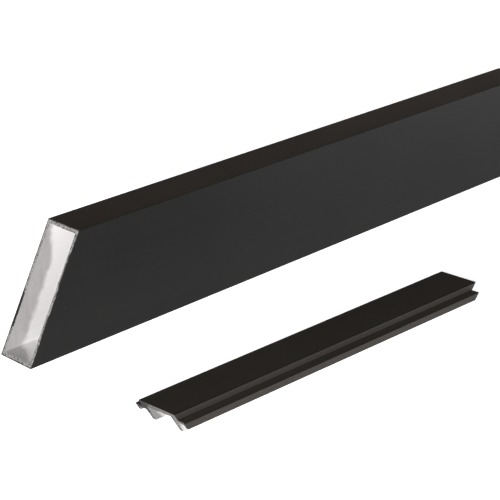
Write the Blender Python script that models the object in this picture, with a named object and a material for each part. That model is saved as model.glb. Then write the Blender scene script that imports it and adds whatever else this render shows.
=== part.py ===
"""Door rail and cover strip: two aluminium extrusions laid out side by side.

The hollow rail stands on its narrow edge along X, and the cover strip lies on its legs in front of it.
Origin: middle of the rail's underside. +X along the rail, -Y towards the strip, +Z up. Metres.
"""

import math

import bmesh
import bpy

# Hollow rail
RAIL_LENGTH = 0.6604        # along the underside, from the saw-cut toe to the square end
RAIL_THICKNESS = 0.0381     # across the narrow edge
RAIL_HEIGHT = 0.1016        # the wide face
RAIL_WALL = 0.003175
RAIL_RAKE = math.radians(28.4)       # lean of the raked end from square; the underside is the longer
RAIL_CORNER = 0.0005        # radius along the outer edges
BORE_CORNER = 0.0008        # radius along the bore's edges

# Cover strip
STRIP_LENGTH = 0.3429       # along the top of the web, tip to tip
WEB_WIDTH = 0.0356
WEB_WALL = 0.0046
SIDE_DROP = 0.0062          # from the web's top down to the ledges
LEDGE_REACH = 0.0071        # how far each ledge stands out past the web
LEDGE_WALL = 0.0028
LIP_DROP = 0.0062           # the ledge's outer face, from the ledge's top to the lip's edge
LIP_WALL = 0.0024
LEG_INSET = 0.0024          # each leg's outer face, in from the web's edge
LEG_WALL = 0.0036
STRIP_HEIGHT = 0.0192       # web's top to the legs' feet
NEAR_MITRE = math.radians(31.0)      # lean of each end from square; the web is the longer
FAR_MITRE = math.radians(37.0)
END_SKEW = math.radians(5.2)         # both ends are this far off square as seen from above
STRIP_EDGE = 0.0003         # radius along the strip's edges

# Layout
LAYOUT_GAP = 0.1237         # rail's front face to the strip's nearer ledge, at the strip's middle
STRIP_SHIFT = -0.1575       # the strip's middle, along the rail from the rail's middle
STRIP_TURN = math.radians(-2.0)      # the loose strip lies slightly out of line with the rail

EDGE_SEGMENTS = 3
SAW_ALLOWANCE = 0.0500      # bar left past each end for the saw to take off
BORE_OVERRUN = 0.0100       # bore cutter past the end of the uncut bar

COATING = (0.026, 0.023, 0.021, 1.0)


def clear_scene():
    """Remove every object."""
    for item in list(bpy.data.objects):
        bpy.data.objects.remove(item, do_unlink=True)


def coated_metal(name, roughness):
    """Dark bronze coating on aluminium."""
    material = bpy.data.materials.new(name)
    material.use_nodes = True
    shader = material.node_tree.nodes["Principled BSDF"]
    shader.inputs["Base Color"].default_value = COATING
    shader.inputs["Metallic"].default_value = 0.3
    shader.inputs["Roughness"].default_value = roughness
    material.diffuse_color = COATING
    return material


def group(name, location, turn=0.0):
    """Empty that carries one member, turned about Z."""
    empty = bpy.data.objects.new(name, None)
    empty.location = location
    empty.rotation_euler = (0.0, 0.0, turn)
    bpy.context.collection.objects.link(empty)
    return empty


def bar(name, outline, start, end, parent):
    """Solid bar along X from an outline of (y, z) points, in the parent's frame."""
    work = bmesh.new()
    corners = [work.verts.new((0.0, y, z)) for y, z in outline]
    face = work.faces.new(corners)
    run = bmesh.ops.extrude_face_region(work, geom=[face])
    moved = [item for item in run["geom"] if isinstance(item, bmesh.types.BMVert)]
    bmesh.ops.translate(work, verts=moved, vec=(end - start, 0.0, 0.0))
    bmesh.ops.recalc_face_normals(work, faces=work.faces)
    mesh = bpy.data.meshes.new(name)
    work.to_mesh(mesh)
    work.free()
    item = bpy.data.objects.new(name, mesh)
    item.location = (start, 0.0, 0.0)
    item.parent = parent
    bpy.context.collection.objects.link(item)
    return item


def as_cutter(item):
    """Mark an object as a tool that isn't part of the model."""
    item.hide_render = True
    item.display_type = "WIRE"
    return item


def round_edges(item, radius):
    """Round every edge that turns by more than 30 degrees."""
    bevel = item.modifiers.new("edge_radius", "BEVEL")
    bevel.width = radius
    bevel.segments = EDGE_SEGMENTS
    bevel.limit_method = "ANGLE"
    bevel.angle_limit = math.radians(30.0)


def cut(item, cutter):
    """Subtract a cutter."""
    difference = item.modifiers.new(cutter.name, "BOOLEAN")
    difference.operation = "DIFFERENCE"
    difference.solver = "EXACT"
    difference.object = cutter


def saw_end(item, name, pivot_x, pivot_z, lean, outward, span, skew=0.0):
    """Cut an end through (pivot_x, pivot_z); outward is -1 or +1 along X.

    A positive lean takes more off the bottom than off the top, and a negative one more off the top.
    A positive skew sets the end's +Y side back towards -X.
    """
    block = 4.0 * span
    work = bmesh.new()
    bmesh.ops.create_cube(work, size=block)
    bmesh.ops.translate(work, verts=work.verts, vec=(outward * block / 2.0, 0.0, 0.0))
    mesh = bpy.data.meshes.new(name)
    work.to_mesh(mesh)
    work.free()
    cutter = bpy.data.objects.new(name, mesh)
    cutter.location = (pivot_x, 0.0, pivot_z)
    cutter.rotation_euler = (0.0, outward * lean, skew)
    cutter.parent = item.parent
    bpy.context.collection.objects.link(cutter)
    cut(item, as_cutter(cutter))


def rectangle(width, bottom, top):
    """Rectangle centred on y = 0."""
    half = width / 2.0
    return [(-half, bottom), (half, bottom), (half, top), (-half, top)]


def mirrored(half_outline):
    """Close an outline given for y >= 0 by its mirror image."""
    return half_outline + [(-y, z) for y, z in reversed(half_outline)]


def strip_outline():
    """Section of the cover strip: raised web, ledges with lips, and two legs inset from the web's edges."""
    top = STRIP_HEIGHT
    ledge_top = top - SIDE_DROP
    ledge_under = ledge_top - LEDGE_WALL
    lip_foot = ledge_top - LIP_DROP
    side = WEB_WIDTH / 2.0
    leg_outer = side - LEG_INSET
    leg_inner = leg_outer - LEG_WALL
    lip = side + LEDGE_REACH
    return mirrored([
        (side, top),
        (side, ledge_top),
        (lip, ledge_top),
        (lip, lip_foot),
        (lip - LIP_WALL, lip_foot),
        (lip - LIP_WALL, ledge_under),
        (leg_outer, ledge_under),
        (leg_outer, 0.0),
        (leg_inner, 0.0),
        (leg_inner, top - WEB_WALL),
    ])


def build_rail():
    """Closed rectangular tube: raked near end, square far end."""
    frame = group("rail_layout", (0.0, 0.0, 0.0))
    toe = -RAIL_LENGTH / 2.0
    heel = RAIL_LENGTH / 2.0
    start = toe - SAW_ALLOWANCE
    end = heel + SAW_ALLOWANCE
    rail = bar("hollow_rail", rectangle(RAIL_THICKNESS, 0.0, RAIL_HEIGHT), start, end, frame)
    round_edges(rail, RAIL_CORNER)

    bore_width = RAIL_THICKNESS - 2.0 * RAIL_WALL
    bore_outline = rectangle(bore_width, RAIL_WALL, RAIL_HEIGHT - RAIL_WALL)
    bore = bar("rail_bore", bore_outline, start - BORE_OVERRUN, end + BORE_OVERRUN, frame)
    round_edges(bore, BORE_CORNER)
    cut(rail, as_cutter(bore))

    saw_end(rail, "rail_rake", toe, 0.0, -RAIL_RAKE, -1.0, RAIL_HEIGHT)
    saw_end(rail, "rail_square", heel, 0.0, 0.0, 1.0, RAIL_HEIGHT)
    rail.data.materials.append(coated_metal("rail_coating", 0.42))
    return rail


def build_strip():
    """Open section with a mitre at each end, lying on its legs."""
    centre_y = -(RAIL_THICKNESS / 2.0 + LAYOUT_GAP + WEB_WIDTH / 2.0 + LEDGE_REACH)
    frame = group("strip_layout", (STRIP_SHIFT, centre_y, 0.0), STRIP_TURN)
    near = -STRIP_LENGTH / 2.0
    far = STRIP_LENGTH / 2.0
    strip = bar("cover_strip", strip_outline(), near - SAW_ALLOWANCE, far + SAW_ALLOWANCE, frame)
    round_edges(strip, STRIP_EDGE)

    span = WEB_WIDTH + 2.0 * LEDGE_REACH
    saw_end(strip, "near_mitre", near, STRIP_HEIGHT, NEAR_MITRE, -1.0, span, END_SKEW)
    saw_end(strip, "far_mitre", far, STRIP_HEIGHT, FAR_MITRE, 1.0, span, END_SKEW)
    strip.data.materials.append(coated_metal("strip_coating", 0.38))
    return strip


def main():
    """Build both members."""
    clear_scene()
    build_rail()
    build_strip()


main()
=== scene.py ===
"""Looks of the door rail and its cover strip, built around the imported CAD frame."""

import logging
import math
from dataclasses import dataclass, field
from enum import Enum
from functools import cached_property

import bmesh
import bpy
from mathutils import Matrix, Vector


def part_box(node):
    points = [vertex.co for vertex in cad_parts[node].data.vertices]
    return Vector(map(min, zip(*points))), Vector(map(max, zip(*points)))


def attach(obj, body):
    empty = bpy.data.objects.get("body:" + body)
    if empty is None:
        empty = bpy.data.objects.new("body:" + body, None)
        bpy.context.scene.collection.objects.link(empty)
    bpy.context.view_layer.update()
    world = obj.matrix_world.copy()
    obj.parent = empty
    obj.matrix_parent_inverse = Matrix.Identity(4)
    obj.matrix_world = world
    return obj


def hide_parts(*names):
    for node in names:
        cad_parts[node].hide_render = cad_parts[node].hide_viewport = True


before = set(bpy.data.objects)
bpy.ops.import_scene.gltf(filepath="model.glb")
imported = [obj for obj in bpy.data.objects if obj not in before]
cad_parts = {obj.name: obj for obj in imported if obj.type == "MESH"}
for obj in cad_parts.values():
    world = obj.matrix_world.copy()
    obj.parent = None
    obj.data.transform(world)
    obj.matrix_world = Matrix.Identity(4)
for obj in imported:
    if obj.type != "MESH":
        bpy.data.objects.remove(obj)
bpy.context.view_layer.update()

log = logging.getLogger("door_rail")

Colour = tuple[float, float, float]
Triple = tuple[float, float, float]
Range = tuple[float, float]
Inputs = dict[str | int, object]
Socket = bpy.types.NodeSocket
Material = bpy.types.Material

WELD = 1e-6                 # points closer than this are one point
ROUND_STEPS = 6             # segments in a quarter round
HOLD = 0.00015              # flat kept beside each round, so that the wide faces shade flat
FLAT_STEP = 0.0015          # longest segment on a flat of a section
SHARP_TURN = math.radians(28.0)
SECTION_TO_ROW = Matrix(((0, 0, 1, 0), (1, 0, 0, 0), (0, 1, 0, 0), (0, 0, 0, 1)))

# Inputs and outputs that share their name with those of other data types, by number.
COLOUR_INPUTS = (6, 7)
COLOUR_OUTPUT = 2
NUMBER_INPUTS = (2, 3)

# The part of a noise's range that a pattern uses: the narrower, the harder the pattern.
SOFT: Range = (0.25, 0.75)
PLAIN: Range = (0.3, 0.7)
FIRM: Range = (0.35, 0.65)

# The saw's traces.
SAW_GRAIN = 420.0           # cells per metre of the waver in a cut
CLUMP_SCALE = 170.0         # cells per metre of the noise that groups the burrs
CLUMP_DETAIL = 3.0
CLUMP_LIMIT = 0.5           # burrs grow where that noise is above this
SLIVER_SHAPE = {"Vertices": 5, "Radius Bottom": 0.26, "Radius Top": 0.05, "Depth": 1.8}
SLIVER_TILT = Vector((0.5, 0.5, 3.1))   # the most that a sliver turns about its X, Y and Z
SLIVER_SIZES: Range = (0.35, 1.0)       # the smallest and the largest, beside the burr size
BURR_SEED = 11


class Surface(Enum):
    """What a face of an extrusion is."""

    COATED = 0
    RAW = 1
    SAWN = 2
    ROUND = 3


class End(Enum):
    """The two ends of an extrusion: near is the lower X."""

    NEAR = 0
    FAR = 1


@dataclass(frozen=True)
class Profile:
    """Where a piece's section lies, for patterns that follow it."""

    turn: float
    datum: Vector
    half_width: float
    height: float
    near_slope: float


# ---------------------------------------------------------------- node helpers


class NodeTree:
    """A node tree with short ways to add to it."""

    def __init__(self, tree: bpy.types.NodeTree) -> None:
        """Keep the tree to add to."""
        self.tree = tree

    def feed(self, node: bpy.types.Node, inputs: Inputs) -> None:
        """Link each input whose value is a socket, and set a constant on each other one.

        Args:
            node: the node.
            inputs: the values, by the name or number of the input.
        """
        for key, value in inputs.items():
            if isinstance(value, Socket):
                self.tree.links.new(value, node.inputs[key])
            else:
                node.inputs[key].default_value = value

    def node(self, kind: str, inputs: Inputs | None = None, **settings: object) -> bpy.types.Node:
        """Add a node, set its properties and then feed its inputs.

        Args:
            kind: the node's type name.
            inputs: sockets or constants, by the name or number of the input.
            settings: properties of the node.

        Returns:
            The new node.
        """
        made = self.tree.nodes.new(kind)
        for key, value in settings.items():
            setattr(made, key, value)
        self.feed(made, inputs or {})
        return made

    def result(self, kind: str, inputs: Inputs | None = None, **settings: object) -> Socket:
        """The first output of a new node, which is made as node() says."""
        return self.node(kind, inputs, **settings).outputs[0]

    def math(self, operation: str, first: object, second: object = 0.0) -> Socket:
        """Combine two values, each a socket or a number."""
        return self.result("ShaderNodeMath", {0: first, 1: second}, operation=operation)

    def blend(self, factor: object, first: object, second: object) -> Socket:
        """Mix two numbers, the factor being the second one's weight."""
        inputs = {"Factor": factor, **dict(zip(NUMBER_INPUTS, (first, second)))}
        return self.result("ShaderNodeMix", inputs, data_type="FLOAT")

    def mix(self, factor: object, first: object, second: object, blend: str = "MIX") -> Socket:
        """Mix two colours.

        Args:
            factor: weight of the second colour.
            first: socket or (r, g, b).
            second: socket or (r, g, b).
            blend: the blend type.

        Returns:
            The mixed colour.
        """
        inputs = {"Factor": factor}
        for key, colour in zip(COLOUR_INPUTS, (first, second)):
            inputs[key] = colour if isinstance(colour, Socket) else (*colour, 1.0)
        return self.node("ShaderNodeMix", inputs, data_type="RGBA", blend_type=blend).outputs[COLOUR_OUTPUT]

    def remap(self, value: object, low: float, high: float, to_low: float, to_high: float,
              smooth: bool = False) -> Socket:
        """Map a value from one range to another, clamped.

        Args:
            value: socket or number.
            low: start of the source range.
            high: end of the source range.
            to_low: result at low.
            to_high: result at high.
            smooth: ease in and out.

        Returns:
            The mapped value.
        """
        inputs = {"Value": value, "From Min": low, "From Max": high, "To Min": to_low, "To Max": to_high}
        curve = "SMOOTHSTEP" if smooth else "LINEAR"
        return self.result("ShaderNodeMapRange", inputs, interpolation_type=curve)

    def noise(self, vector: Socket, scale: float, detail: float = 2.0, roughness: float = 0.5) -> Socket:
        """A noise value between 0 and 1.

        Args:
            vector: the coordinates.
            scale: cells per unit of the coordinates.
            detail: octaves.
            roughness: weight of the fine octaves.

        Returns:
            The noise factor.
        """
        inputs = {"Vector": vector, "Scale": scale, "Detail": detail, "Roughness": roughness}
        return self.result("ShaderNodeTexNoise", inputs)

    def parts(self, vector: Socket) -> list[Socket]:
        """The X, Y and Z of a vector."""
        return list(self.node("ShaderNodeSeparateXYZ", {"Vector": vector}).outputs)


class ShaderGraph(NodeTree):
    """A material's node tree."""

    def __init__(self, name: str) -> None:
        """Make a material with a Principled shader.

        Args:
            name: the material's name.
        """
        self.material = bpy.data.materials.new(name)
        self.material.use_nodes = True
        super().__init__(self.material.node_tree)

    def place(self, profile: Profile, scale: Triple = (1.0, 1.0, 1.0)) -> Socket:
        """Object coordinates moved and turned onto a piece's own line.

        Args:
            profile: the piece's place and turn.
            scale: stretch of the pattern after the turn.

        Returns:
            The coordinates, in metres when scale is one.
        """
        coords = self.node("ShaderNodeTexCoord").outputs["Object"]
        shifted = self.result("ShaderNodeVectorMath", {0: coords, 1: profile.datum}, operation="SUBTRACT")
        onto_line = {"Vector": shifted, "Rotation": (0.0, 0.0, -profile.turn)}
        turned = self.result("ShaderNodeMapping", onto_line)
        return self.result("ShaderNodeVectorMath", {0: turned, 1: scale}, operation="MULTIPLY")

    def bump(self, height: Socket, distance: float, strength: float, under: Socket | None = None) -> Socket:
        """A bumped normal.

        Args:
            height: the height value.
            distance: height in metres of a value of one.
            strength: weight of the effect.
            under: a normal to add to.

        Returns:
            The normal.
        """
        inputs = {"Height": height, "Distance": distance, "Strength": strength}
        if under is not None:
            inputs["Normal"] = under
        return self.result("ShaderNodeBump", inputs)

    def dress(self, inputs: Inputs) -> Material:
        """Feed the shader's inputs.

        Args:
            inputs: sockets or constants, by the name of the input.

        Returns:
            The finished material.
        """
        self.feed(self.tree.nodes["Principled BSDF"], inputs)
        return self.material


class GeometryTree(NodeTree):
    """A Geometry Nodes tree with named inputs."""

    def __init__(self, name: str) -> None:
        """Make a tree that takes in a mesh and gives one out.

        Args:
            name: the tree's name.
        """
        super().__init__(bpy.data.node_groups.new(name, "GeometryNodeTree"))
        for way in ("INPUT", "OUTPUT"):
            self.tree.interface.new_socket(name="Geometry", in_out=way, socket_type="NodeSocketGeometry")
        self.entry = self.node("NodeGroupInput")
        self.values: dict[str, object] = {}

    @property
    def source(self) -> Socket:
        """The mesh that the tree takes in."""
        return self.entry.outputs["Geometry"]

    @cached_property
    def position(self) -> Socket:
        """Each point's place."""
        return self.result("GeometryNodeInputPosition")

    def give(self, name: str, value: object, kind: str = "NodeSocketFloat") -> Socket:
        """Add a named input and remember its value.

        Args:
            name: the input's name.
            value: what the modifier gives it.
            kind: the socket type.

        Returns:
            The input, to link from.
        """
        socket = self.tree.interface.new_socket(name=name, in_out="INPUT", socket_type=kind)
        self.values[socket.identifier] = value
        return self.entry.outputs[name]

    def vector(self, x: object, y: object, z: object) -> Socket:
        """A vector from three parts, each a socket or a number."""
        return self.result("ShaderNodeCombineXYZ", {"X": x, "Y": y, "Z": z})

    def equals(self, value: Socket, number: int) -> Socket:
        """Whether an integer value is a given number."""
        inputs = dict(zip(NUMBER_INPUTS, (value, number)))
        return self.result("FunctionNodeCompare", inputs, data_type="INT", operation="EQUAL")

    def within(self, value: Socket, low: float, high: float, margin: Socket) -> Socket:
        """Keep a value inside a range, a margin in from each end of it.

        Args:
            value: the value.
            low: the range's lower end.
            high: the range's upper end.
            margin: how far inside to stay.

        Returns:
            The value kept inside.
        """
        raised = self.math("MAXIMUM", value, self.math("ADD", margin, low))
        return self.math("MINIMUM", raised, self.math("SUBTRACT", high, margin))

    def random(self, kind: str, low: object, high: object, seed: Socket) -> Socket:
        """A random value for each point.

        Args:
            kind: the data type.
            low: the least value.
            high: the greatest value.
            seed: the seed.

        Returns:
            The value.
        """
        made = self.node("FunctionNodeRandomValue", data_type=kind)
        least, greatest = [socket for socket in made.inputs if socket.enabled][:2]
        least.default_value = low
        greatest.default_value = high
        self.feed(made, {"Seed": seed})
        return next(socket for socket in made.outputs if socket.enabled)

    def marked(self, geometry: Socket, kind: Surface) -> Socket:
        """Store what its surface is on each face."""
        inputs = {"Geometry": geometry, "Name": "surface", "Value": kind.value}
        return self.result("GeometryNodeStoreNamedAttribute", inputs, data_type="INT", domain="FACE")

    def painted(self, geometry: Socket, name: str, material: Material, chosen: object = True) -> Socket:
        """Set a material.

        Args:
            geometry: the faces.
            name: name of the tree's input for the material.
            material: the material.
            chosen: which of the faces to paint.

        Returns:
            The painted geometry.
        """
        inputs = {"Geometry": geometry, "Selection": chosen}
        inputs["Material"] = self.give(name, material, "NodeSocketMaterial")
        return self.result("GeometryNodeSetMaterial", inputs)

    def build(self, name: str, result: Socket, source: bpy.types.Mesh) -> bpy.types.Mesh:
        """Run the tree on a mesh.

        Args:
            name: the new mesh's name.
            result: what the tree gives out.
            source: the mesh to start from.

        Returns:
            A plain mesh.
        """
        self.node("NodeGroupOutput", {"Geometry": result})
        carrier = bpy.data.objects.new(name + "_source", source)
        bpy.context.scene.collection.objects.link(carrier)
        modifier = carrier.modifiers.new("tree", "NODES")
        modifier.node_group = self.tree
        for identifier, value in self.values.items():
            modifier[identifier] = value
        graph = bpy.context.evaluated_depsgraph_get()
        graph.update()
        mesh = bpy.data.meshes.new_from_object(carrier.evaluated_get(graph), depsgraph=graph)
        mesh.name = name
        carrier.modifiers.remove(modifier)
        bpy.data.objects.remove(carrier, do_unlink=True)
        return mesh


# -------------------------------------------------------------------- finishes


@dataclass(frozen=True)
class CoatingFinish:
    """Satin dark bronze coating with cloudiness, dust and faint drawing lines lightened by a painted sheen.
    """

    name: str
    tone: Colour
    second_tone: Colour
    roughness: float
    specular: float
    cloud_scale: float = 14.0
    cloud_range: Range = (0.32, 0.68)
    cloud_gloss: float = 0.03           # how far the clouds change the roughness
    line_scale: Triple = (3.0, 700.0, 700.0)
    # painted sheen: a lighter tone screened over the drawing lines
    line_tone: Colour = (0.06, 0.056, 0.05)
    line_share: float = 0.04
    line_gloss: Range = (-0.005, 0.01)
    line_depth: float = 0.0000015
    grain_scale: float = 2600.0
    grain_depth: float = 0.000010
    dust: float = 0.35                  # how strongly the specks show
    dust_tone: Colour = (0.10, 0.095, 0.09)
    dust_scale: float = 260.0
    dust_patch: float = 90.0            # scale of the patches with more specks
    dust_range: Range = (0.45, 0.8)
    dust_size: float = 0.16             # the largest speck, beside its cell

    def material(self, profile: Profile) -> Material:
        """Make the material.

        Args:
            profile: the piece's section and place.

        Returns:
            The material.
        """
        graph = ShaderGraph(self.name)
        place = graph.place(profile)
        cloud = graph.noise(place, self.cloud_scale, detail=4.0, roughness=0.6)
        lines = graph.noise(graph.place(profile, self.line_scale), 1.0, detail=3.0, roughness=0.7)
        grain = graph.noise(place, self.grain_scale)

        tone = graph.mix(graph.remap(cloud, *self.cloud_range, 0.0, 1.0), self.tone, self.second_tone)
        # Painted sheen: the drawing lines are lightened by screening a lighter tone over them.
        tone = graph.mix(graph.remap(lines, *PLAIN, 0.0, self.line_share), tone, self.line_tone, "SCREEN")
        cells = {"Vector": place, "Scale": self.dust_scale, "Randomness": 1.0}
        speck = graph.node("ShaderNodeTexVoronoi", cells, feature="F1")
        patch = graph.noise(place, self.dust_patch, detail=1.0)
        size = graph.remap(patch, *self.dust_range, 0.0, self.dust_size)
        mask = graph.math("LESS_THAN", speck.outputs["Distance"], size)
        tone = graph.mix(graph.math("MULTIPLY", mask, self.dust), tone, self.dust_tone)

        smooth, dull = (self.roughness + part for part in self.line_gloss)
        rough = graph.remap(lines, *SOFT, smooth, dull)
        rough = graph.math("ADD", rough, graph.remap(cloud, *PLAIN, -self.cloud_gloss, self.cloud_gloss))
        normal = graph.bump(lines, self.line_depth, 1.0)
        return graph.dress({
            "Base Color": tone, "Roughness": rough, "Metallic": 0.0, "Specular IOR Level": self.specular,
            "Normal": graph.bump(grain, self.grain_depth, 1.0, normal),
        })


@dataclass(frozen=True)
class RawFinish:
    """Bare mill-finish aluminium with die lines, and a band of painted shade near the cut end."""

    name: str
    bright: Colour
    # painted shade: the metal's tone in the band near the cut end
    shaded_tone: Colour
    reach: float            # how deep the painted shade goes on the back wall
    top_slope: float        # how fast it grows below the top wall
    bottom_shade: float = 1.0   # painted shade: how dark the metal is at the bottom, beside the top
    metallic: float = 0.3
    roughness: Range = (0.45, 0.6)
    line_scale: Triple = (4.0, 900.0, 900.0)
    line_tone: Colour = (0.35, 0.34, 0.35)
    line_share: float = 0.12
    line_depth: float = 0.00001
    edge_scale: float = 60.0
    edge_waver: float = 0.0022          # how far the painted shade's edge wanders
    edge_fade: Range = (-0.0025, 0.0035)
    patch_scale: Triple = (260.0, 90.0, 60.0)
    patch_tone: float = 0.86            # the painted shade's darkest patches, beside its lightest

    def material(self, profile: Profile) -> Material:
        """Make the material.

        Args:
            profile: the piece's section and place.

        Returns:
            The material.
        """
        graph = ShaderGraph(self.name)
        place = graph.place(profile)
        lines = graph.noise(graph.place(profile, self.line_scale), 1.0, detail=4.0, roughness=0.75)
        cloud = graph.noise(place, self.edge_scale, detail=3.0, roughness=0.6)
        # Painted shade: a band in from the cut end, reaching deeper towards the back wall and narrowing
        # below the top wall.
        along, across, up = graph.parts(place)
        depth = graph.math("SUBTRACT", along, graph.math("MULTIPLY", up, profile.near_slope))
        depth = graph.math("ADD", depth, graph.remap(cloud, *PLAIN, -self.edge_waver, self.edge_waver))
        side = graph.remap(across, -profile.half_width, profile.half_width, 0.0, self.reach)
        below = graph.math("MULTIPLY", graph.math("SUBTRACT", profile.height, up), self.top_slope)
        past = graph.math("SUBTRACT", depth, graph.math("MINIMUM", side, below))
        shade_mask = graph.remap(past, *self.edge_fade, 1.0, 0.0, smooth=True)

        # Painted shade: the metal darkens towards the bottom.
        low = tuple(self.bottom_shade * part for part in self.bright)
        metal = graph.mix(graph.remap(up, 0.0, profile.height, 0.0, 1.0), low, self.bright)
        patch = graph.noise(graph.place(profile, self.patch_scale), 1.0, detail=4.0, roughness=0.65)
        dark = tuple(self.patch_tone * part for part in self.shaded_tone)
        shade_colour = graph.mix(graph.remap(patch, *FIRM, 0.0, 1.0), self.shaded_tone, dark)
        tone = graph.mix(shade_mask, metal, shade_colour)
        tone = graph.mix(graph.remap(lines, *PLAIN, 0.0, self.line_share), tone, self.line_tone)
        return graph.dress({
            "Base Color": tone, "Roughness": graph.remap(lines, *PLAIN, *self.roughness),
            "Metallic": self.metallic, "Normal": graph.bump(lines, self.line_depth, 1.0),
        })


@dataclass(frozen=True)
class Smear:
    """A heavier smear of coating dragged over a cut by the blade."""

    across: float           # -1 for the front wall, 1 for the back wall
    height: float
    length: float
    width: float


@dataclass(frozen=True)
class SawnFinish:
    """Saw-cut aluminium: blade arcs, speckle, a dark coated rim and smears."""

    name: str
    metal: Colour
    shade: Colour
    smear: Colour
    rim: float
    smears: tuple[Smear, ...] = ()
    back_shade: float = 1.0  # painted shade: how dark the cut is at the back, beside the front
    metallic: float = 0.2
    specular: float = 0.2
    roughness: Range = (0.45, 0.7)
    relief: float = 0.8                 # weight of the arcs and the speckle as relief
    blade_radius: float = 0.125
    wobble_scale: float = 300.0
    wobble: float = 0.0004              # how far the arcs wander
    arc_pitch: float = 9000.0           # radians of the arcs' wave per metre
    arc_tone: Colour = (0.6, 0.6, 0.6)
    arc_share: float = 0.2
    arc_depth: float = 0.00002
    speckle_scale: float = 850.0
    speckle_depth: float = 0.00003
    patch_scale: float = 240.0
    rim_range: Range = (0.4, 0.68)
    rim_growth: float = 3.2             # the widest rim, beside the narrowest
    edge_fade: Range = (-0.00015, 0.00025)
    smear_waver: Range = (-0.0004, 0.0006)
    smear_ends: Range = (0.3, 0.5)      # where a smear thins out, as shares of its length
    fleck_scale: Triple = (950.0, 950.0, 190.0)
    fleck_range: Range = (0.535, 0.585)
    fleck_share: float = 0.92

    def material(self, profile: Profile) -> Material:
        """Make the material.

        Args:
            profile: the piece's section and place.

        Returns:
            The material.
        """
        graph = ShaderGraph(self.name)
        place = graph.place(profile)
        _, across, up = graph.parts(place)
        hub = (0.0, self.blade_radius, -self.blade_radius)
        blade = graph.node("ShaderNodeVectorMath", {0: place, 1: hub}, operation="DISTANCE")
        wobble = graph.math("MULTIPLY", graph.noise(place, self.wobble_scale), self.wobble)
        radius = graph.math("ADD", blade.outputs["Value"], wobble)
        arcs = graph.math("SINE", graph.math("MULTIPLY", radius, self.arc_pitch))
        speckle = graph.noise(place, self.speckle_scale, detail=4.0, roughness=0.75)
        patch = graph.noise(place, self.patch_scale, detail=4.0, roughness=0.65)
        tone = graph.mix(graph.remap(speckle, *FIRM, 0.0, 1.0), self.metal, self.shade)
        tone = graph.mix(graph.remap(arcs, -1.0, 1.0, 0.0, self.arc_share), tone, self.arc_tone)
        # Painted shade: the cut darkens towards its back.
        fade = graph.remap(across, -profile.half_width, profile.half_width, 0.0, 1.0 - self.back_shade)
        tone = graph.mix(fade, tone, (0.0, 0.0, 0.0))

        side = graph.math("SUBTRACT", profile.half_width, graph.math("ABSOLUTE", across))
        inset = graph.math("MINIMUM", side, graph.math("SUBTRACT", profile.height, up))
        inset = graph.math("MINIMUM", inset, up)
        reach = graph.remap(patch, *self.rim_range, self.rim, self.rim * self.rim_growth)
        dark = graph.remap(graph.math("SUBTRACT", inset, reach), *self.edge_fade, 1.0, 0.0)
        for smear in self.smears:
            waver = graph.remap(patch, *PLAIN, *self.smear_waver)
            swell = graph.math("ADD", self._swell(graph, smear, across, up), waver)
            past = graph.math("SUBTRACT", side, swell)
            dark = graph.math("MAXIMUM", dark, graph.remap(past, *self.edge_fade, 1.0, 0.0))
        flecks = graph.noise(graph.place(profile, self.fleck_scale), 1.0, detail=3.0, roughness=0.65)
        fleck = graph.remap(flecks, *self.fleck_range, 0.0, self.fleck_share)
        tone = graph.mix(graph.math("MAXIMUM", dark, fleck), tone, self.smear)
        normal = graph.bump(arcs, self.arc_depth, self.relief)
        return graph.dress({
            "Base Color": tone, "Roughness": graph.remap(speckle, *PLAIN, *self.roughness),
            "Metallic": self.metallic, "Specular IOR Level": self.specular,
            "Normal": graph.bump(speckle, self.speckle_depth, self.relief, normal),
        })

    def _swell(self, graph: ShaderGraph, smear: Smear, across: Socket, up: Socket) -> Socket:
        """How far in from the outside one smear reaches at each point.

        Args:
            graph: the material's nodes.
            smear: the smear.
            across: distance across the section from its middle.
            up: height.

        Returns:
            The reach in metres.
        """
        away = graph.math("ABSOLUTE", graph.math("SUBTRACT", up, smear.height))
        start, stop = (smear.length * share for share in self.smear_ends)
        swell = graph.remap(away, start, stop, smear.width, 0.0, smooth=True)
        wall = graph.math("GREATER_THAN", graph.math("MULTIPLY", across, smear.across), 0.0)
        return graph.math("MULTIPLY", swell, wall)


Finish = CoatingFinish | RawFinish | SawnFinish

RAIL_FINISHES: dict[Surface, Finish] = {
    Surface.COATED: CoatingFinish(
        "rail_coating", (0.0082, 0.0083, 0.0083), (0.0096, 0.0097, 0.0096), roughness=0.43, specular=0.20,
    ),
    # Painted shade: the rounded edges of the coating are darker, drawing a dark outline along them.
    Surface.ROUND: CoatingFinish(
        "rail_shaded_edge", (0.006, 0.0057, 0.005), (0.008, 0.0075, 0.007), roughness=0.6, specular=0.12, dust=0.2,
    ),
    # Painted shade: a darker band near the cut end and a darker bottom of the bore.
    Surface.RAW: RawFinish(
        "rail_raw", (0.92, 0.905, 0.905), (0.48, 0.465, 0.47), reach=0.019, top_slope=0.52, bottom_shade=0.80,
    ),
    Surface.SAWN: SawnFinish(
        "rail_sawn", (0.34, 0.335, 0.33), (0.10, 0.098, 0.096), (0.02, 0.02, 0.019), rim=0.00035,
        smears=(
            Smear(1.0, height=0.034, length=0.034, width=0.0028),
            Smear(-1.0, height=0.072, length=0.034, width=0.0017),
            Smear(-1.0, height=0.030, length=0.022, width=0.0012),
        ),
    ),
}
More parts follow.
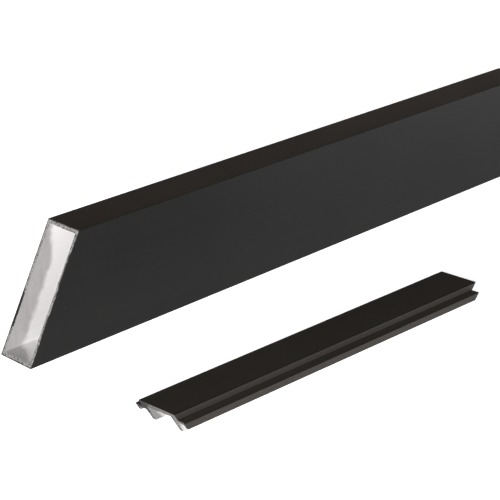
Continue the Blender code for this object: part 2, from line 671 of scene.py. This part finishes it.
STRIP_FINISHES: dict[Surface, Finish] = {
    Surface.COATED: CoatingFinish(
        "strip_coating", (0.0290, 0.0256, 0.0222), (0.0316, 0.0282, 0.0248), roughness=0.44, specular=0.34,
    ),
    # Painted shade: the rounded edges of the coating are darker, drawing a dark outline along them.
    Surface.ROUND: CoatingFinish(
        "strip_shaded_edge", (0.006, 0.005, 0.004), (0.008, 0.007, 0.006), roughness=0.6, specular=0.12, dust=0.2,
    ),
    # Painted shade: a darker copy of the rail's bare metal, for the shaded underside, and a darker band
    # near the cut end.
    Surface.RAW: RawFinish(
        "strip_raw", (0.60, 0.59, 0.59), (0.24, 0.235, 0.235), reach=0.008, top_slope=0.7,
    ),
    Surface.SAWN: SawnFinish(
        "strip_sawn", (0.20, 0.195, 0.19), (0.12, 0.116, 0.112), (0.028, 0.026, 0.027), rim=0.0001,
        smears=(
            Smear(1.0, height=0.0155, length=0.022, width=0.0145),
            Smear(-1.0, height=0.0085, length=0.010, width=0.0026),
        ),
        back_shade=0.4,
    ),
}


# -------------------------------------------------------------------- sections


@dataclass(frozen=True)
class Corner:
    """A corner of a section, and what the flat that leaves it is."""

    x: float
    y: float
    radius: float
    surface: Surface

    @property
    def point(self) -> Vector:
        """The corner before rounding."""
        return Vector((self.x, self.y))


@dataclass
class Section:
    """Closed outlines of an extrusion's section, x across and y up."""

    points: list[Vector] = field(default_factory=list)
    edges: list[tuple[int, int]] = field(default_factory=list)
    surfaces: list[Surface] = field(default_factory=list)

    def add(self, corners: list[Corner]) -> None:
        """Add one closed outline with its corners rounded.

        Args:
            corners: the corners in order.
        """
        first = len(self.points)
        run: list[tuple[Vector, Surface]] = []
        arcs = [self._arc(corners[i - 1], corner, corners[(i + 1) % len(corners)])
                for i, corner in enumerate(corners)]
        for i, corner in enumerate(corners):
            arriving = corners[i - 1].surface
            kind = corner.surface if arriving == corner.surface else Surface.RAW
            if kind == Surface.COATED:
                kind = Surface.ROUND
            run += [(point, kind) for point in arcs[i][:-1]]
            run.append((arcs[i][-1], corner.surface))
            following = arcs[(i + 1) % len(corners)][0]
            run += [(point, corner.surface) for point in self._flat(arcs[i][-1], following)]
        self.points += [point for point, _ in run]
        self.surfaces += [kind for _, kind in run]
        count = len(run)
        self.edges += [(first + i, first + (i + 1) % count) for i in range(count)]

    @staticmethod
    def _arc(before: Corner, corner: Corner, after: Corner) -> list[Vector]:
        """Points of the round at a corner.

        Args:
            before: the corner before.
            corner: the corner to round.
            after: the corner after.

        Returns:
            The points from the arriving flat to the leaving one.
        """
        arrive = (before.point - corner.point).normalized()
        leave = (after.point - corner.point).normalized()
        half = arrive.angle(leave) / 2.0
        centre = corner.point + (arrive + leave).normalized() * (corner.radius / math.sin(half))
        start = corner.point + arrive * (corner.radius / math.tan(half)) - centre
        end = corner.point + leave * (corner.radius / math.tan(half)) - centre
        sweep = start.angle_signed(end)
        angles = [-sweep * i / ROUND_STEPS for i in range(ROUND_STEPS + 1)]
        return [centre + Matrix.Rotation(angle, 2) @ start for angle in angles]

    @staticmethod
    def _flat(start: Vector, end: Vector) -> list[Vector]:
        """Points between the rounds: one near each and even steps between.

        Args:
            start: where the flat starts.
            end: where it ends.

        Returns:
            The points, without the two ends.
        """
        span = end - start
        length = span.length
        if length < 4.0 * HOLD:
            return []
        inner = length - 2.0 * HOLD
        count = max(1, math.ceil(inner / FLAT_STEP))
        return [start + span * ((HOLD + inner * i / count) / length) for i in range(count + 1)]

    def mesh(self, name: str) -> bpy.types.Mesh:
        """The outlines as loose edges, each with its surface as an attribute.

        Args:
            name: the mesh's name.

        Returns:
            The mesh.
        """
        mesh = bpy.data.meshes.new(name)
        mesh.from_pydata([(p.x, p.y, 0.0) for p in self.points], self.edges, [])
        kinds = mesh.attributes.new("surface", "INT", "EDGE")
        kinds.data.foreach_set("value", [kind.value for kind in self.surfaces])
        return mesh


def mirrored(corners: list[Corner]) -> list[Corner]:
    """Close an outline given for x >= 0 by its mirror image.

    Args:
        corners: corners from the middle of the top, clockwise, to the middle of the underside.

    Returns:
        All corners of the outline.
    """
    leaving = [corner.surface for corner in corners]
    arriving = [leaving[0], *leaving[:-1]]
    mirror = [Corner(-c.x, c.y, c.radius, kind) for c, kind in zip(corners, arriving)]
    return corners + mirror[::-1]


# ------------------------------------------------------------------ extrusions


@dataclass
class Extrusion:
    """An aluminium extrusion along its own X, with a straight saw cut at each end."""

    name: str
    node: str
    body: str
    slot: str
    finishes: dict[Surface, Finish]
    length: float
    near_slope: float       # lengthwise shift of the near end per metre of height
    far_slope: float
    end_skew: float         # shift of both ends towards the near one per metre across
    datum: float            # the height at which the length is measured
    height: float
    origin: Vector          # the near end's middle at the datum height
    turn: float = 0.0
    saw_waver: float = 0.00009
    burr_step: float = 0.0011
    burr_size: float = 0.00042

    @property
    def placement(self) -> Matrix:
        """From the section's own axes to the row."""
        return Matrix.Translation(self.origin) @ Matrix.Rotation(self.turn, 4, "Z") @ SECTION_TO_ROW

    @property
    def half_width(self) -> float:
        """Half of the section's width, given by each kind of extrusion."""
        raise NotImplementedError

    @property
    def profile(self) -> Profile:
        """Where the section lies, for its finishes."""
        lean = Vector((self.near_slope * self.datum, 0.0, 0.0))
        start = self.origin - Matrix.Rotation(self.turn, 3, "Z") @ lean
        return Profile(self.turn, start, self.half_width, self.height, self.near_slope)

    @cached_property
    def materials(self) -> dict[Surface, Material]:
        """The material of each surface."""
        return {kind: finish.material(self.profile) for kind, finish in self.finishes.items()}

    def section(self) -> Section:
        """The section, made by each kind of extrusion."""
        raise NotImplementedError

    def _cut_law(self, tree: GeometryTree, at_far: Socket | float, length: Socket) -> Socket:
        """Lengthwise place of a point at an end, which leans with height.

        Args:
            tree: the tree to add to.
            at_far: one for a point of the far end and zero for the near end.
            length: the length input.

        Returns:
            The lengthwise place.
        """
        across, up, _ = tree.parts(tree.position)
        height = tree.math("SUBTRACT", up, tree.give("Datum height", self.datum))
        near = tree.math("MULTIPLY", height, tree.give("Near slope", self.near_slope))
        far = tree.math("MULTIPLY", height, tree.give("Far slope", self.far_slope))
        far = tree.math("ADD", far, length)
        skew = tree.math("MULTIPLY", across, tree.give("End skew", self.end_skew))
        return tree.math("SUBTRACT", tree.blend(at_far, near, far), skew)

    def solid(self) -> bpy.types.Mesh:
        """Extrude the section, cap it and lean its ends, with Geometry Nodes.

        Returns:
            The closed mesh in the row.
        """
        tree = GeometryTree(self.name + "_extrusion")
        length = tree.give("Length", self.length)
        waver = tree.give("Saw waver", self.saw_waver)
        stored = tree.node("GeometryNodeInputNamedAttribute", {"Name": "surface"}, data_type="INT")
        kinds = stored.outputs["Attribute"]
        pull = tree.vector(0.0, 0.0, length)
        join = tree.node("GeometryNodeJoinGeometry")
        for kind in (Surface.COATED, Surface.RAW, Surface.ROUND):
            chosen = {"Geometry": tree.source, "Selection": tree.equals(kinds, kind.value)}
            edges = tree.result("GeometryNodeSeparateGeometry", chosen, domain="EDGE")
            inputs = {"Mesh": edges, "Offset": pull, "Offset Scale": 1.0}
            walls = tree.result("GeometryNodeExtrudeMesh", inputs, mode="EDGES")
            tree.feed(join, {"Geometry": tree.marked(walls, kind)})
        loops = tree.result("GeometryNodeMeshToCurve", {"Mesh": tree.source})
        near_cap = tree.marked(tree.result("GeometryNodeFillCurve", {"Curve": loops}), Surface.SAWN)
        far_cap = tree.result("GeometryNodeTransform", {"Geometry": near_cap, "Translation": pull})
        for cap in (near_cap, far_cap):
            tree.feed(join, {"Geometry": cap})
        weld = {"Geometry": join.outputs["Geometry"], "Distance": WELD}
        closed = tree.result("GeometryNodeMergeByDistance", weld)

        across, up, along = tree.parts(tree.position)
        at_far = tree.math("GREATER_THAN", along, tree.math("MULTIPLY", length, 0.5))
        depth = tree.math("MULTIPLY", tree.noise(tree.position, SAW_GRAIN), waver)
        inward = tree.math("SUBTRACT", 1.0, tree.math("MULTIPLY", at_far, 2.0))
        cut = tree.math("ADD", self._cut_law(tree, at_far, length), tree.math("MULTIPLY", depth, inward))
        leaning = {"Geometry": closed, "Position": tree.vector(across, up, cut)}
        result = tree.result("GeometryNodeSetPosition", leaning)
        result = tree.result("GeometryNodeRealizeInstances", {"Geometry": result})
        for kind, material in self.materials.items():
            name = kind.name.title() + " material"
            result = tree.painted(result, name, material, tree.equals(kinds, kind.value))
        return self._settled(tree.build(self.name, result, self.section().mesh(self.name + "_section")))

    def burrs(self, end: End) -> bpy.types.Mesh:
        """Slivers of metal that the saw left along an end's edges, with Geometry Nodes.

        Args:
            end: which end.

        Returns:
            The slivers in the row.
        """
        name = f"{self.name}_{end.name.lower()}_burrs"
        tree = GeometryTree(name)
        length = tree.give("Length", self.length)
        step = tree.give("Spacing", self.burr_step)
        size = tree.give("Burr size", self.burr_size)
        seed = tree.give("Seed", BURR_SEED + end.value, "NodeSocketInt")
        margin = tree.give("Margin", self.burr_size)
        loops = tree.result("GeometryNodeMeshToCurve", {"Mesh": tree.source})
        spread = tree.result("GeometryNodeResampleCurve", {"Curve": loops, "Length": step}, mode="LENGTH")
        across, up, _ = tree.parts(tree.position)
        along = self._cut_law(tree, float(end.value), length)
        skewed = abs(self.end_skew) * self.half_width
        place = tree.vector(
            tree.within(across, -self.half_width, self.half_width, margin),
            tree.within(up, 0.0, self.height, margin),
            tree.within(along, -skewed, self.length + skewed, margin),
        )
        points = tree.result("GeometryNodeSetPosition", {"Geometry": spread, "Position": place})

        clump = tree.noise(tree.position, CLUMP_SCALE, detail=CLUMP_DETAIL)
        tangent = tree.result("GeometryNodeInputTangent")
        aim = tree.result("FunctionNodeAlignRotationToVector", {"Vector": tangent}, axis="Z")
        tilt = tree.random("FLOAT_VECTOR", -SLIVER_TILT, SLIVER_TILT, seed)
        turn = {"Rotation": aim, "Rotate By": tree.result("FunctionNodeEulerToRotation", {"Euler": tilt})}
        slivers = tree.result("GeometryNodeInstanceOnPoints", {
            "Points": points,
            "Selection": tree.math("GREATER_THAN", clump, CLUMP_LIMIT),
            "Instance": tree.result("GeometryNodeMeshCone", SLIVER_SHAPE),
            "Rotation": tree.result("FunctionNodeRotateRotation", turn, rotation_space="LOCAL"),
            "Scale": tree.math("MULTIPLY", tree.random("FLOAT", *SLIVER_SIZES, seed), size),
        })
        real = tree.result("GeometryNodeRealizeInstances", {"Geometry": slivers})
        result = tree.painted(real, "Burr material", self.materials[Surface.SAWN])
        return self._settled(tree.build(name, result, self.section().mesh(self.name + "_edges")))

    def _settled(self, mesh: bpy.types.Mesh) -> bpy.types.Mesh:
        """Place a mesh in the row, point its faces outward and set its sharp edges.

        Args:
            mesh: the mesh in the section's axes.

        Returns:
            The same mesh.
        """
        mesh.transform(self.placement)
        work = bmesh.new()
        work.from_mesh(mesh)
        bmesh.ops.remove_doubles(work, verts=work.verts, dist=WELD)
        bmesh.ops.recalc_face_normals(work, faces=work.faces)
        work.to_mesh(mesh)
        work.free()
        mesh.shade_smooth()
        mesh.set_sharp_from_angle(angle=SHARP_TURN)
        return mesh

    def build(self) -> None:
        """Make the extrusion and its burrs, and hang them on their body."""
        body = bpy.data.objects.new(self.name, self.solid())
        bpy.context.scene.collection.objects.link(body)
        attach(body, self.body)
        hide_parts(self.node)
        log.info("%s: %d faces on %s", self.name, len(body.data.polygons), self.body)
        for end in End:
            self._build_burrs(end)

    def _build_burrs(self, end: End) -> None:
        """Make one end's burrs.

        Args:
            end: which end.
        """
        mesh = self.burrs(end)
        piece = bpy.data.objects.new(mesh.name, mesh)
        bpy.context.scene.collection.objects.link(piece)
        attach(piece, self.body)
        log.info("%s: %d faces on %s", piece.name, len(mesh.polygons), self.body)


@dataclass
class HollowRail(Extrusion):
    """The closed rectangular tube, raked at its near end and square at its far end."""

    thickness: float = 0.0
    wall: float = 0.003175
    corner: float = 0.0005
    bore_corner: float = 0.0008

    @classmethod
    def from_frame(cls, rake: float) -> "HollowRail":
        """Take the outside sizes from the CAD node.

        Args:
            rake: lean of the near end from square.

        Returns:
            The rail.
        """
        low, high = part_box("hollow_rail")
        return cls(
            name="rail_tube", node="hollow_rail", body="rail", slot="rail_coating",
            finishes=RAIL_FINISHES, length=high.x - low.x, thickness=high.y - low.y, height=high.z - low.z,
            near_slope=math.tan(rake), far_slope=0.0, end_skew=0.0, datum=0.0,
            origin=Vector((low.x, (low.y + high.y) / 2.0, low.z)),
        )

    @property
    def half_width(self) -> float:
        """Half of the tube's thickness."""
        return self.thickness / 2.0

    def section(self) -> Section:
        """Two rounded rectangles, the outside and the bore.

        Returns:
            The section.
        """
        made = Section()
        made.add(self._rectangle(0.0, self.corner, Surface.COATED))
        made.add(self._rectangle(self.wall, self.bore_corner, Surface.RAW))
        return made

    def _rectangle(self, inset: float, radius: float, surface: Surface) -> list[Corner]:
        """Corners of the outside, or of the bore when inset by the wall.

        Args:
            inset: distance in from the outside.
            radius: the corners' radius.
            surface: what the faces are.

        Returns:
            The corners.
        """
        half = self.half_width - inset
        low, high = inset, self.height - inset
        places = ((-half, low), (half, low), (half, high), (-half, high))
        return [Corner(x, y, radius, surface) for x, y in places]


@dataclass
class CoverStrip(Extrusion):
    """The open section: raised web, ledges with lips, and two legs inset from the web's edges."""

    web: float = 0.0356
    web_wall: float = 0.0046
    side_drop: float = 0.0062
    ledge_reach: float = 0.0071
    ledge_wall: float = 0.0028
    lip_drop: float = 0.0062
    lip_wall: float = 0.0024
    leg_inset: float = 0.0024
    leg_wall: float = 0.0036
    edge: float = 0.0003
    web_edge: float = 0.0007

    @classmethod
    def from_frame(cls, length: float, mitres: dict[End, float], skew: float, turn: float) -> "CoverStrip":
        """Take the height and place from the CAD node.

        Args:
            length: along the top of the web.
            mitres: lean of each end from square.
            skew: how far both ends are off square as seen from above.
            turn: the strip's turn about Z.

        Returns:
            The strip.
        """
        low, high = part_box("cover_strip")
        middle = (low + high) / 2.0
        half_length = Matrix.Rotation(turn, 3, "Z") @ Vector((length / 2.0, 0.0, 0.0))
        height = high.z - low.z
        slopes = {end: math.tan(lean) / math.cos(skew) for end, lean in mitres.items()}
        return cls(
            name="strip_section", node="cover_strip", body="strip", slot="strip_coating",
            finishes=STRIP_FINISHES, length=length, height=height, turn=turn,
            near_slope=-slopes[End.NEAR], far_slope=slopes[End.FAR], end_skew=math.tan(skew), datum=height,
            origin=Vector((middle.x, middle.y, low.z)) - half_length,
            burr_step=0.0009, burr_size=0.0003,
        )

    @property
    def half_width(self) -> float:
        """Half of the strip's width over its lips."""
        return self.web / 2.0 + self.ledge_reach

    def section(self) -> Section:
        """The strip's outline.

        Returns:
            The section.
        """
        top = self.height
        ledge = top - self.side_drop
        under = ledge - self.ledge_wall
        foot = ledge - self.lip_drop
        side = self.web / 2.0
        outer = side - self.leg_inset
        inner = outer - self.leg_wall
        lip = side + self.ledge_reach
        coated, raw, edge = Surface.COATED, Surface.RAW, self.edge
        half = [
            Corner(side, top, self.web_edge, coated),
            Corner(side, ledge, edge, coated),
            Corner(lip, ledge, edge, coated),
            Corner(lip, foot, edge, raw),
            Corner(lip - self.lip_wall, foot, edge, raw),
            Corner(lip - self.lip_wall, under, edge, raw),
            Corner(outer, under, edge, raw),
            Corner(outer, 0.0, edge, raw),
            Corner(inner, 0.0, edge, raw),
            Corner(inner, top - self.web_wall, edge, raw),
        ]
        made = Section()
        made.add(mirrored(half))
        return made


# ---------------------------------------------------------------------- studio


@dataclass(frozen=True)
class SoftLight:
    """A rectangular soft light aimed at a point."""

    name: str
    place: Triple
    aim: Triple
    width: float
    height: float
    power: float

    def build(self) -> None:
        """Put the light in the scene."""
        data = bpy.data.lights.new(self.name, "AREA")
        data.shape = "RECTANGLE"
        data.size = self.width
        data.size_y = self.height
        data.energy = self.power
        lamp = bpy.data.objects.new(self.name, data)
        bpy.context.scene.collection.objects.link(lamp)
        lamp.location = self.place
        lamp.rotation_euler = (Vector(self.aim) - Vector(self.place)).to_track_quat("-Z", "Y").to_euler()
        lamp.visible_camera = False


@dataclass(frozen=True)
class Studio:
    """White floor, soft lights and the long-lens camera."""

    camera_place: Triple = (-1.0101, -0.9168, 0.5595)
    yaw: float = math.radians(45.892)
    pitch: float = math.radians(22.382)
    lens: float = 114.3
    sensor: float = 36.0
    far_clip: float = 100.0
    floor_reach: float = 9.0
    floor_tone: Colour = (0.86, 0.86, 0.86)
    floor_roughness: float = 0.9
    floor_seen: float = 0.93        # the floor's glow to the camera
    floor_glow: float = 0.30        # the floor's glow to the object
    sky_low: float = 0.66
    sky_high: float = 0.0
    sky_from: float = 0.20          # where the fade starts, as the height of a ray of length one
    sky_to: float = 0.36
    sky_tint: Colour = (1.0, 0.83, 0.74)
    white: Colour = (1.0, 1.0, 1.0)
    lights: tuple[SoftLight, ...] = (
        SoftLight("front_striplight", (0.85, -0.62, 0.08), (0.45, -0.02, 0.02), 0.9, 0.10, 2.2),
        SoftLight("mouth_softbox", (-2.20, -1.30, 0.70), (-0.27, 0.0, 0.05), 0.6, 0.6, 98.0),
    )

    def build(self) -> None:
        """Make the camera, the floor, the sky and the lights."""
        bpy.context.scene.view_settings.view_transform = "Standard"
        self._camera()
        self._floor()
        self._sky()
        for light in self.lights:
            light.build()

    def _camera(self) -> None:
        """Level camera, looking down along the members."""
        data = bpy.data.cameras.new("camera")
        data.lens = self.lens
        data.sensor_width = self.sensor
        data.clip_end = self.far_clip
        camera = bpy.data.objects.new("camera", data)
        bpy.context.scene.collection.objects.link(camera)
        camera.location = self.camera_place
        camera.rotation_euler = (math.pi / 2.0 - self.pitch, 0.0, -self.yaw)
        bpy.context.scene.camera = camera

    def _floor(self) -> None:
        """Pale floor that glows a little, as a light table does."""
        reach = self.floor_reach
        corners = [(-reach, -reach, 0.0), (reach, -reach, 0.0), (reach, reach, 0.0), (-reach, reach, 0.0)]
        mesh = bpy.data.meshes.new("floor")
        mesh.from_pydata(corners, [], [range(len(corners))])
        floor = bpy.data.objects.new("floor", mesh)
        bpy.context.scene.collection.objects.link(floor)
        graph = ShaderGraph("floor_white")
        seen = graph.result("ShaderNodeLightPath")
        mesh.materials.append(graph.dress({
            "Base Color": (*self.floor_tone, 1.0), "Roughness": self.floor_roughness,
            "Emission Color": (*self.white, 1.0),
            "Emission Strength": graph.remap(seen, 0.0, 1.0, self.floor_glow, self.floor_seen),
        }))

    def _sky(self) -> None:
        """White to the camera; to the object, pale at the horizon and dim overhead."""
        world = bpy.data.worlds.new("studio")
        world.use_nodes = True
        bpy.context.scene.world = world
        graph = NodeTree(world.node_tree)
        coords = graph.node("ShaderNodeTexCoord").outputs["Generated"]
        _, _, up = graph.parts(coords)
        fade = graph.remap(up, self.sky_from, self.sky_to, self.sky_low, self.sky_high)
        seen = graph.result("ShaderNodeLightPath")
        graph.feed(world.node_tree.nodes["Background"], {
            "Strength": graph.blend(seen, fade, 1.0),
            "Color": graph.mix(seen, self.sky_tint, self.white),
        })


def main() -> None:
    """Build the studio, then each member."""
    logging.basicConfig(level=logging.INFO, format="%(name)s: %(message)s")
    Studio().build()
    HollowRail.from_frame(rake=math.radians(28.4)).build()
    mitres = {End.NEAR: math.radians(31.0), End.FAR: math.radians(37.0)}
    CoverStrip.from_frame(
        length=0.3429, mitres=mitres, skew=math.radians(5.2), turn=math.radians(-2.0),
    ).build()


if __name__ == "__main__":
    main()
